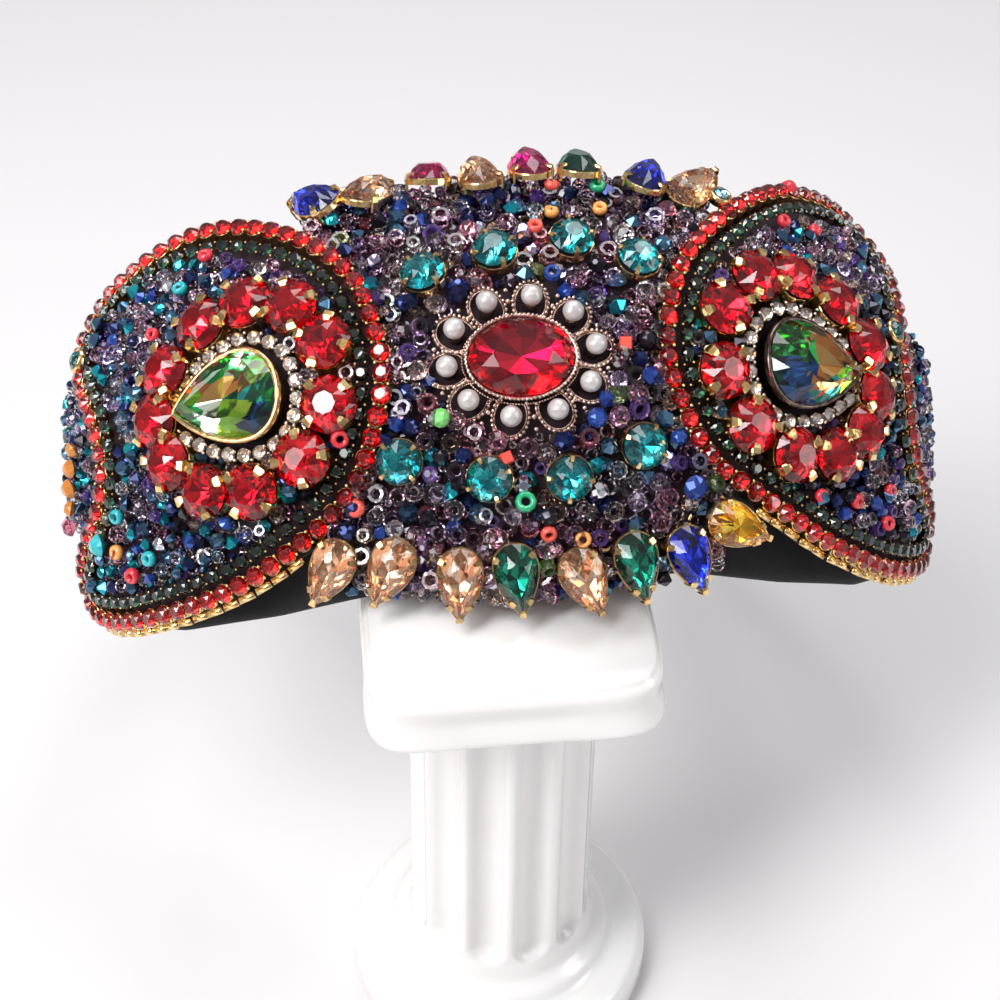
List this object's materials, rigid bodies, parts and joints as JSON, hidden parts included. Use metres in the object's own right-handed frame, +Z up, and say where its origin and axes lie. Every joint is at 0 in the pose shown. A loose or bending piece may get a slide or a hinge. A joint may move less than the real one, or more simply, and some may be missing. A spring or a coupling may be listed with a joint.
{
  "type": "jeweled headband on a column display stand",
  "caption": "Wide padded velvet headband covered with beads, cup chains and faceted stones, resting on a small fluted column; the legs reach down behind it.",
  "frame": {"origin": "centre of the column's foot, on the surface that it stands on", "axes": "+Z up, -Y towards the headband's decorated front, +X to the right as the front is seen"},
  "size_m": [0.1688, 0.1615, 0.1596],
  "materials": {
    "velvet": "black velvet over padding",
    "bead_field": "felt paved with small glass beads in purple, navy, grey and teal",
    "ruby_chain": "red stones in gold cups",
    "dark_chain": "dark green stones in dark cups",
    "ruby": "faceted red glass over foil",
    "clear_chain": "clear stones in silver cups",
    "gold": "polished gold coloured metal",
    "antique_gold": "antique gold, dark in the recesses",
    "vitrail": "faceted glass that shows green, yellow, orange and blue",
    "pearl": "imitation pearl",
    "teal": "faceted teal glass over foil",
    "sapphire": "faceted blue glass over foil",
    "champagne": "faceted champagne glass over foil",
    "magenta": "faceted magenta glass over foil",
    "emerald": "faceted green glass over foil",
    "amber": "faceted yellow glass over foil",
    "white_glaze": "white glaze"
  },
  "bodies": {
    "root": {"band_core": "velvet", "center_panel": "bead_field", "left_side_panel": "bead_field", "left_end_panel": "bead_field", "left_red_chain": "ruby_chain", "left_dark_chain": "dark_chain", "left_stone_ring": "ruby", "left_clear_chain": "clear_chain", "left_pear_bezel": "gold", "left_pear_stone": "vitrail", "right_side_panel": "bead_field", "right_end_panel": "bead_field", "right_red_chain": "ruby_chain", "right_dark_chain": "dark_chain", "right_stone_ring": "ruby", "right_clear_chain": "clear_chain", "right_pear_bezel": "gold", "right_pear_stone": "vitrail", "oval_setting": "antique_gold", "oval_stone": "ruby", "pearl_01": "pearl", "pearl_02": "pearl", "pearl_03": "pearl", "pearl_04": "pearl", "pearl_05": "pearl", "pearl_06": "pearl", "pearl_07": "pearl", "pearl_08": "pearl", "pearl_09": "pearl", "pearl_10": "pearl", "teal_stone_1": "teal", "teal_stone_2": "teal", "teal_stone_3": "teal", "teal_stone_4": "teal", "teal_stone_5": "teal", "teal_stone_6": "teal", "teal_stone_7": "teal", "teal_stone_8": "teal", "top_drop_1": "sapphire", "top_drop_2": "champagne", "top_drop_3": "magenta", "top_drop_4": "champagne", "top_drop_5": "magenta", "top_drop_6": "emerald", "top_drop_7": "sapphire", "top_drop_8": "champagne", "bottom_drop_1": "champagne", "bottom_drop_2": "champagne", "bottom_drop_3": "champagne", "bottom_drop_4": "emerald", "bottom_drop_5": "champagne", "bottom_drop_6": "emerald", "bottom_drop_7": "sapphire", "bottom_drop_8": "amber", "display_column": "white_glaze", "rest_wedge": "white_glaze"}
  },
  "joints": []
}
